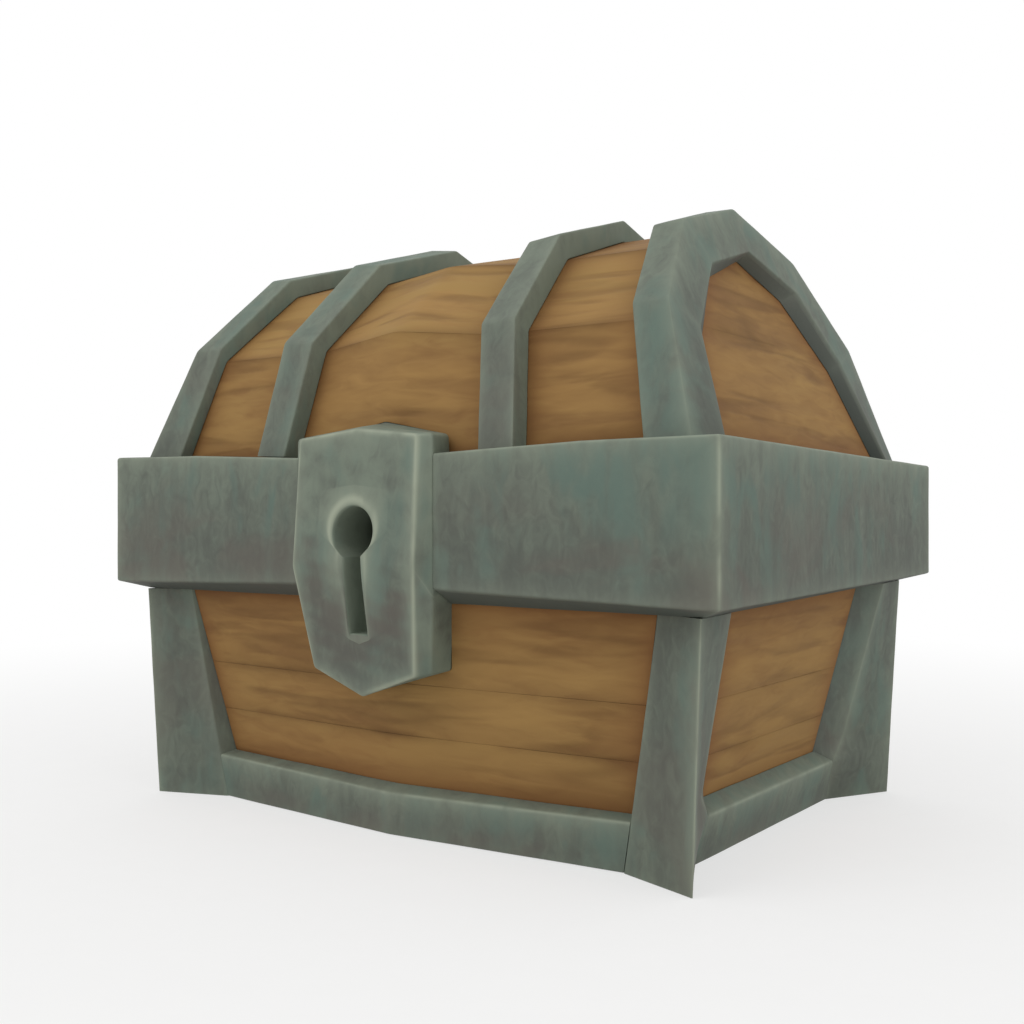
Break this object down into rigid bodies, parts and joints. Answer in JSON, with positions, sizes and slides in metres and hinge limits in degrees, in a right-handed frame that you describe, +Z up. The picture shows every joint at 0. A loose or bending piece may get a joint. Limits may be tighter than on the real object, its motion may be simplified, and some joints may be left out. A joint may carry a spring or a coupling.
{
  "type": "treasure chest",
  "caption": "Domed treasure chest of timber boards bound in iron, with a rear-hinged faceted lid, flared corner irons and a large pointed lock block.",
  "frame": {"origin": "on the ground, under the middle of the chest's box", "axes": "+X to the viewer's right seen from the front, -Y to the front where the lock is, +Z up"},
  "size_m": [0.33, 0.2508, 0.2765],
  "materials": {
    "wood": "painted-look oak, satin, darker towards the irons",
    "inner_wood": "plain oak, matt",
    "iron": "grey-green paint, matt, worn pale along the edges",
    "steel": "plain steel, satin"
  },
  "bodies": {
    "chest": {"front_board_low": "wood", "front_board_mid": "wood", "front_board_top": "wood", "back_board_low": "wood", "back_board_mid": "wood", "back_board_top": "wood", "left_board_low": "wood", "left_board_mid": "wood", "left_board_top": "wood", "right_board_low": "wood", "right_board_mid": "wood", "right_board_top": "wood", "floor_front": "inner_wood", "floor_middle": "inner_wood", "floor_back": "inner_wood", "floor_battens": "inner_wood", "rim_front": "inner_wood", "rim_back": "inner_wood", "rim_left": "inner_wood", "rim_right": "inner_wood", "corner_front_left": "iron", "corner_front_right": "iron", "corner_back_left": "iron", "corner_back_right": "iron", "base_front": "iron", "base_back": "iron", "base_left": "iron", "base_right": "iron", "band_front_left": "iron", "band_front_right": "iron", "band_back": "iron", "band_left": "iron", "band_right": "iron", "lock_block": "iron", "leaf_left": "iron", "leaf_right": "iron", "lock_case": "steel", "lock_cap": "steel", "bolt_spring": "steel", "hinge_pin_left": "steel", "hinge_pin_right": "steel"},
    "lid": {"stave_front_low": "wood", "stave_front_mid": "wood", "stave_front_top": "wood", "stave_back_top": "wood", "stave_back_mid": "wood", "stave_back_low": "wood", "end_left_low": "wood", "end_left_top": "wood", "end_right_low": "wood", "end_right_top": "wood", "hoop_left": "iron", "strap_left": "iron", "strap_right": "iron", "hoop_right": "iron", "lid_leaf_left": "iron", "lid_leaf_right": "iron", "staple": "steel"},
    "lock_bolt": {"bolt": "steel"}
  },
  "joints": [
    {"name": "lid_hinge", "type": "hinge", "parent": "chest", "child": "lid", "pos_m": [0, 0.1218, 0.164], "axis": [-1, 0, 0], "range_deg": [0, 100]},
    {"name": "bolt_slide", "type": "slide", "parent": "chest", "child": "lock_bolt", "axis": [1, 0, 0], "range_m": [0, 0.009]}
  ]
}
